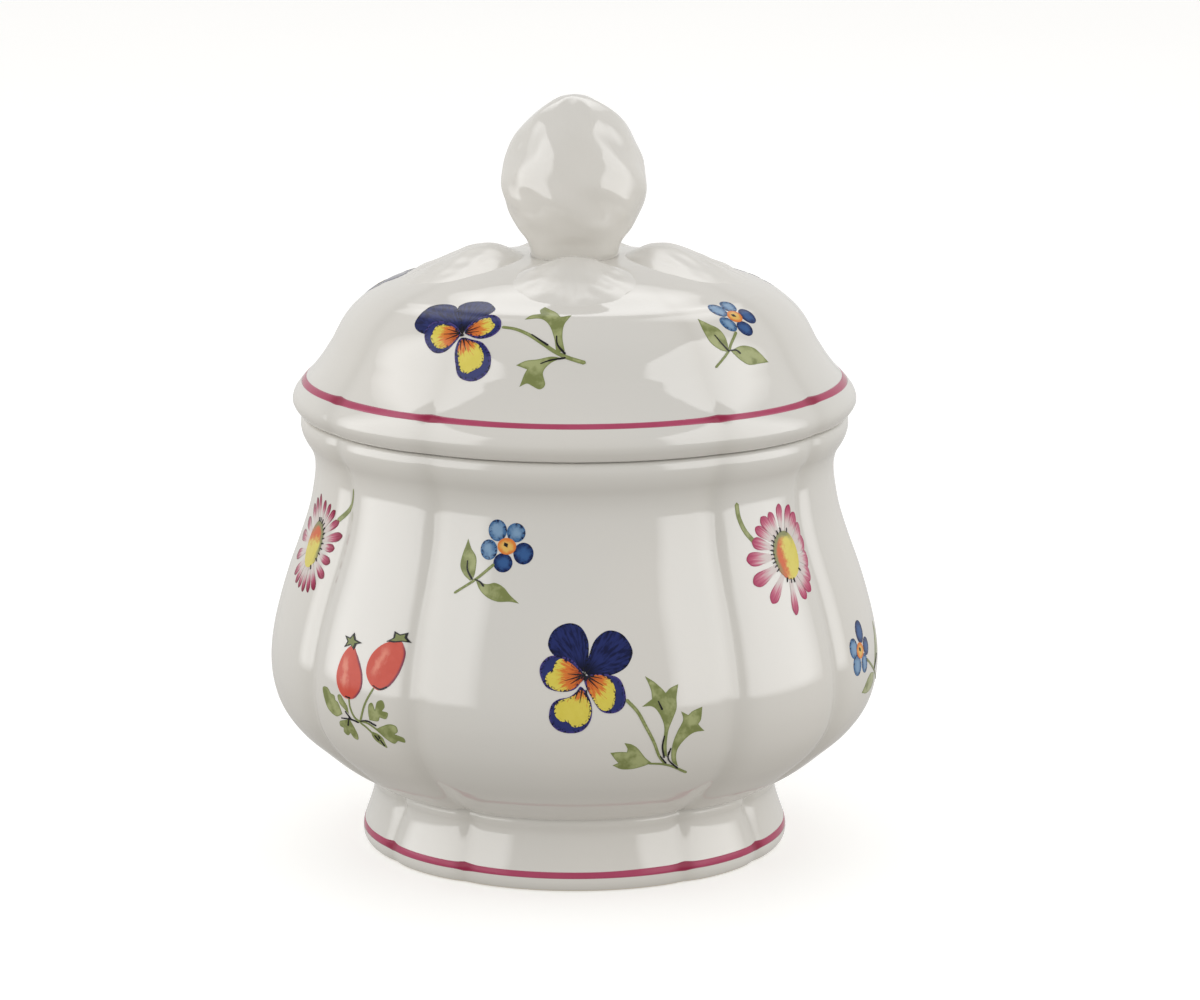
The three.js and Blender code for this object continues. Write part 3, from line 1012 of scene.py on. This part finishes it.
def upright_forget_me_not():
    drawing = draw_forget_me_not(FORGET_ME_NOT_UPRIGHT, (0, 2))
    leaves(drawing, [
        [(11.6, 2.2, SHARP), (12.9, 0.2), (12.6, -2.4), (10.6, -4.2), (7.8, -4.9, SHARP), (9.2, -2.4),
         (10.6, -0.2)],
        [(7.8, -5.5, SHARP), (5.4, -5), (3.2, -5.6), (0.6, -7.3, SHARP), (3.4, -8), (6.2, -8), (8, -7.2)],
    ])
    strokes(drawing, [[(3, -2.2), (7.4, -4.8), (11.9, -7.5)]], "green", 2, 0.4, 0.35)
    strokes(drawing, [[(10.8, -3), (9.2, -4.2), (7.8, -5)]], "ink", 3, 0.15, 0.35)
    return drawing


def daisy_sprig():
    ticks = (96, 112, 128, 141, 152, 163, 172, 181, 190, 199, 209, 247, 262, 276, 318, 68)
    drawing = draw_daisy(DAISY, "pink", ticks, 180)
    strokes(drawing, [[(-9.2, 9.4), (-8.9, 7.2), (-8, 5), (-6.6, 3.2)]], "green", 1, 0.75, 0.85)
    return drawing


def crimson_daisy_sprig():
    drawing = draw_daisy(DAISY_FULL, "crimson", (-14, -2, 10, 22, 34, 47, 60, 74, 88, 103, -30, -60),
                         100, 0.8)
    strokes(drawing, [[(9.6, 10.6), (9.3, 8.7), (8.2, 7), (6.2, 5.2)]], "green", 1, 0.75, 0.85)
    return drawing


def rose_hips():
    drawing = Drawing()
    left = [(-2.9, 11.6), (-1.4, 10.4), (0.2, 7.8), (0.4, 5.5), (-0.7, 3.8), (-2.2, 3.2), (-3.9, 3.5),
            (-5.3, 5.1), (-5.6, 7.1), (-4.6, 10)]
    right = [(6.4, 13.8), (7.5, 12.8), (7.9, 11.3), (7.3, 8.6), (5.9, 6.5), (4.1, 5.6), (2.4, 6.2),
             (1.2, 7.7), (1.1, 9.4), (1.9, 11.3), (3.8, 13)]
    drawing.shapes += draw_hip(left, 3, (-2.6, 7.3), (3, 4.2))
    drawing.shapes += draw_hip(right, -25, (4.5, 9.7), (3, 4.3))
    crowns = [
        [(-2.9, 13.7), (-2.3, 12.7), (-0.8, 12.4), (-2, 12), (-2.3, 11), (-3.2, 11.7),
         (-4.7, 11.1), (-4.1, 12.1), (-4.9, 12.9), (-3.6, 12.8)],
        [(5.3, 15.2), (6.4, 14.8), (7.7, 15.2), (7.6, 14.4), (8.5, 13.6), (7.2, 13.7),
         (5.6, 13.4), (4.1, 13.4), (5.3, 14.1)],
    ]
    for crown in crowns:
        drawing.add(outline(all_sharp(crown)), "ink", 3, None, 0.4)
        middle = np.mean(crown, 0)
        small = middle + (np.array(crown) - middle) * 0.66
        drawing.add(outline(all_sharp(small)), "green", 4, None, 0.4)
    leaves(drawing, [
        [(-4, 0.4, SHARP), (-5.7, -0.3), (-7.7, 0.5), (-8.8, 2.1), (-9.3, 3.7), (-8, 4),
         (-6.9, 3.2, SHARP), (-6, 3.1), (-5.7, 2.4, SHARP), (-4.9, 2)],
        [(-5.1, 3.2), (-4.4, 3.5), (-3.4, 2.6), (-2.7, 1.9), (-2.4, 0.7, SHARP), (-3.5, 1.4),
         (-4.6, 2.1)],
        [(-2.4, -0.1, SHARP), (-3.5, -0.5), (-4.9, -1), (-5, -1.8), (-4.2, -2, SHARP), (-4.3, -2.8),
         (-3.5, -3.2), (-2.7, -2.6, SHARP), (-2.1, -3.4), (-1.2, -3.5), (-1, -2.6), (-1.5, -1.4)],
        [(2.2, 0.5, SHARP), (2, 1.7), (2.1, 3), (2.8, 3.4), (3.4, 2.3, SHARP), (3.8, 3.7), (4.8, 4.1),
         (5.3, 3.2), (4.8, 2.4, SHARP), (5.9, 2.2), (5.5, 1.2), (4.3, 1.3, SHARP), (3.9, 0.6)],
        [(3.2, -0.9, SHARP), (4.3, -0.3), (6, 0.4), (7.2, 0.2), (7.4, -0.7), (6.8, -1.2, SHARP),
         (8.2, -1.7), (8.3, -2.5), (7.2, -2.3, SHARP), (6.4, -2.9), (5.3, -2.4), (4.2, -1.6)],
        [(2.2, -1.4, SHARP), (3.5, -1.6), (4.4, -2.2), (4.6, -2.9, SHARP), (4.8, -3.9), (3.8, -3.5),
         (2.8, -2.9), (2.3, -2.2)],
    ])
    strokes(drawing, [[(-2.3, 3.2), (-2, 1.8), (-1.1, 0.4), (0, -0.1)],
                      [(2.9, 5.7), (1.4, 3.2), (0.5, 0.9), (0.1, -0.2)]], "green", 2, 0.3, 0.36)
    strokes(drawing, [[(0.2, -0.3), (1.4, -0.9), (2.6, -1.8)], [(0.2, 0), (1.8, -0.1), (3.6, -0.9)]],
            "green", 2, 0.3, 0.3)
    strokes(drawing, [[(2.9, -2), (3.5, -2.7)], [(3.9, -2.7), (4.4, -3.5)], [(3.6, -1.9), (3.8, -2.3)]],
            "ink", 3, 0.2, 0.3)
    strokes(drawing, [
        [(-4.3, -0.3), (-2, -0.1), (-0.3, -0.3)], [(0.2, 0), (1.7, 0.3), (3.4, -0.2)],
        [(-3.2, 1), (-2, 0)], [(-2.4, 0.1), (-2.9, -1.3)],
        [(-3.1, 3.5), (-2, 3.4)], [(2.8, 6.2), (4.2, 5.8), (5.5, 6.3)],
    ], "ink", 3, 0.18, 0.27)
    return drawing


def lid_pansy():
    drawing = draw_pansy(LID_PANSY_DARK, LID_PANSY_LOWER, LID_PANSY_HEARTS, LID_PANSY_LINES)
    leaves(drawing, [
        [(16.5, -2.6, SHARP), (15.3, -0.1), (13.3, 2.8), (11.2, 4.4), (8.8, 4.1, SHARP), (9.4, 5.2),
         (10.6, 5.7, SHARP), (9.9, 6.9), (10.1, 8, SHARP), (11.3, 7.2), (12.8, 6.2), (14.1, 4.9, SHARP),
         (15.6, 5.4, SHARP), (15.5, 3.2), (16.3, 0.5), (17.7, -2.3, SHARP)],
        [(17.7, -3.5, SHARP), (16.1, -4.4), (15.3, -5.9), (16.1, -7.9), (15.5, -8.7),
         (14.2, -8.2, SHARP), (13.2, -7.8), (12.2, -8.4, SHARP), (12.4, -6.6), (12.7, -5.5, SHARP),
         (10.8, -4.9, SHARP), (12.2, -4.1), (14, -3.8), (15.9, -3.3)],
    ])
    strokes(drawing, [[(6.2, 2), (8.4, 1.7), (10.9, 0.7), (13.8, -1), (16.5, -2.6), (18.7, -3.5),
                       (21.3, -4.3)]], "green", 2, 0.5, 0.6)
    strokes(drawing, [[(15.4, 0.5), (16.2, -1.2), (17.9, -2.8)],
                      [(11.4, 0.7), (13.2, -0.4), (14.7, -1.3)],
                      [(14.6, -4.5), (16, -3.9), (18.1, -3.5)]], "ink", 3, 0.18, 0.32)
    return drawing


def lid_forget_me_not():
    drawing = draw_forget_me_not().turned(False, 12)
    leaves(drawing, [
        [(-7.4, 0.6, SHARP), (-6.3, -0.8), (-5.3, -1.9), (-5.1, -3.4), (-5.5, -5.2), (-6.1, -6.3, SHARP),
         (-7.5, -5.7), (-8.5, -4.2), (-8.3, -1.9)],
        [(-5.4, -6.2, SHARP), (-3.6, -5.7), (-2.1, -5.7), (-0.3, -6.4), (0.8, -7.6), (1.9, -9.1, SHARP),
         (-0.2, -9), (-2.7, -8.9), (-4.1, -8), (-5, -6.9)],
    ])
    strokes(drawing, [[(-2.4, -3.2), (-4.6, -4.9), (-6.1, -6.3), (-9.4, -8.5)]], "green", 2, 0.45, 0.35)
    strokes(drawing, [[(-6.9, -3.1), (-6.6, -4.6), (-5.9, -6.2)],
                      [(-6, -6.1), (-4.4, -6.2), (-3.8, -6.8)]], "ink", 3, 0.15, 0.32)
    return drawing


def add_sprigs():
    """The sprigs on the front, where the picture shows them, then the same kinds round the back."""
    for name, drawing, azimuth, along in (
        ("sprig_pansy_front", body_pansy(), 1.8, 35.5),
        ("sprig_forget_me_not_front", body_forget_me_not(), -14.3, 55.3),
        ("sprig_daisy_right", daisy_sprig(), 49.4, 50.8),
        ("sprig_daisy_left", crimson_daisy_sprig(), -70.8, 49.4),
        ("sprig_rose_hips_left", rose_hips(), -42.8, 24.9),
        ("sprig_forget_me_not_right", upright_forget_me_not(), 68.7, 31.9),
        ("sprig_pansy_right", body_pansy().turned(True, 10), 113, 47),
        ("sprig_rose_hips_right", rose_hips(), 137, 22),
        ("sprig_forget_me_not_back", body_forget_me_not(), 158, 52),
        ("sprig_pansy_back", body_pansy(), -176, 33),
        ("sprig_daisy_back", daisy_sprig(), -147, 51),
        ("sprig_rose_hips_back", rose_hips().turned(True, 0), -137, 22),
        ("sprig_pansy_left", body_pansy().turned(True, 8), -106, 30),
    ):
        paint_sprig(name, drawing, belly, azimuth, along, "bowl")
    for name, drawing, azimuth, along in (
        ("sprig_lid_pansy_front", lid_pansy(), -29.8, 22.4),
        ("sprig_lid_forget_me_not_right", lid_forget_me_not(), 48.5, 24.6),
        ("sprig_lid_pansy_left", lid_pansy().turned(True, 0), -113, 24.5),
        ("sprig_lid_pansy_right", lid_pansy(), 121, 21.5),
        ("sprig_lid_forget_me_not_back", lid_forget_me_not(), 179, 24),
    ):
        paint_sprig(name, drawing, dome, azimuth, along, "lid")


# ---- stage ----


def add_floor():
    """A plain pale floor that fills the view."""
    mesh = bpy.data.meshes.new("floor")
    corners = [(x * FLOOR_HALF, y * FLOOR_HALF, 0) for x, y in ((-1, -1), (1, -1), (1, 1), (-1, 1))]
    mesh.from_pydata(corners, [], [(0, 1, 2, 3)])
    floor = bpy.data.objects.new("floor", mesh)
    bpy.context.scene.collection.objects.link(floor)
    paint = Paint("pale_floor", 0.7, GLAZE_SHINE)
    grain = paint.noise(paint.position(), 3.0, 2.0)
    colour = paint.mix(grain, linear(244, 244, 243), linear(248, 248, 247))
    paint.give(paint.shader.inputs["Base Color"], colour)
    paint.shader.inputs["Emission Color"].default_value = (1, 1, 1, 1)
    paint.shader.inputs["Emission Strength"].default_value = FLOOR_GLOW
    mesh.materials.append(paint.material)
    floor.visible_diffuse = False
    floor.visible_glossy = False


def dim_edges(light, fade):
    """Dims a rectangular light towards its edges, over these shares of its width and height."""
    tree = Tree(light)
    place = tree.node("SeparateXYZ", Vector=tree.node("NewGeometry").outputs["Parametric"])
    dims = []
    for axis, share in enumerate(fade):
        from_edge = tree.math("PINGPONG", place.outputs[axis], 0.5)
        dims.append(tree.between(from_edge, 0.0, share))
    tree.give(tree.nodes["Emission"].inputs["Strength"], tree.math("MULTIPLY", *dims))


def add_softbox(name, place, aim, wide, tall, radiance, sheen, fade):
    """A rectangular soft light. sheen is a second radiance that shines in the glaze only, from a panel
    just in front, and fade holds the shares of its width and height over which its edges dim."""
    for part, strength, diffuse in (("fill", radiance, True), ("sheen", sheen, False)):
        light = bpy.data.lights.new(name + "_" + part, "AREA")
        light.shape = "RECTANGLE"
        light.size = wide
        light.size_y = tall
        light.energy = strength * math.pi * wide * tall
        holder = bpy.data.objects.new(name + "_" + part, light)
        ahead = (Vector(aim) - Vector(place)).normalized()
        holder.location = Vector(place) + ahead * (0 if diffuse else SHEEN_GAP)
        holder.rotation_euler = ahead.to_track_quat("-Z", "Y").to_euler()
        holder.visible_diffuse = diffuse
        bpy.context.scene.collection.objects.link(holder)
        if not diffuse:
            dim_edges(light, fade)


def add_world():
    """A pale room: brightest at the horizon, dimmer overhead, and dim below."""
    world = bpy.data.worlds.new("studio")
    tree = Tree(world)
    split = tree.node("SeparateXYZ", Vector=tree.node("TexCoord").outputs["Generated"])
    height = tree.node("MapRange", Value=split.outputs["Z"], From_Min=-1)
    ramp = tree.node("ValToRGB", Fac=height.outputs["Result"])
    ramp.color_ramp.interpolation = "EASE"
    ramp.color_ramp.elements[0].position = 0.15
    ramp.color_ramp.elements[0].color = (*WORLD_BELOW, 1)
    ramp.color_ramp.elements[1].position = 0.6
    ramp.color_ramp.elements[1].color = (*WORLD_AROUND, 1)
    top = ramp.color_ramp.elements.new(1.0)
    top.color = (*WORLD_ABOVE, 1)
    tree.give(tree.nodes["Background"].inputs["Color"], ramp.outputs["Color"])
    bpy.context.scene.world = world


def add_lights():
    for name, side, middle, wide in SIDE_LIGHTS:
        place = (side * SIDE_LIGHT_OUT, middle, SIDE_LIGHT_UP)
        aim = (0, middle, SIDE_LIGHT_UP)
        add_softbox("softbox_" + name, place, aim, wide, 0.5, 0.55, 2.5, (0.2, 0.045))
    add_softbox("softbox_back", (0, 0.72, 0.94), (0, 0, 0.09), 1.2, 0.58, 0.65, 1.5, (0.2, 0.3))
    add_world()


def add_camera():
    """A long lens, a little above the lid and tipped down."""
    camera = bpy.data.cameras.new("camera")
    camera.lens = CAMERA_LENS
    camera.sensor_width = 36
    camera.shift_x = CAMERA_SHIFT
    holder = bpy.data.objects.new("camera", camera)
    holder.location = CAMERA_AT
    holder.rotation_euler = (math.radians(90 - CAMERA_TIP), 0, 0)
    bpy.context.scene.collection.objects.link(holder)
    bpy.context.scene.camera = holder
    bpy.context.scene.view_settings.view_transform = "Standard"


add_camera()
add_floor()
add_lights()
add_bowl()
add_lid()
add_knob()
for number, (leaf_side, leaf_half_width) in enumerate(LEAF_HALF_WIDTH.items()):
    add_leaf(leaf_side, 90 * number, leaf_half_width)
add_band("band_lid", dome, 7.3, 1.15, "lid", 3)
add_band("band_foot", foot_side, 5.4, 1.15, "bowl", 5)
add_sprigs()
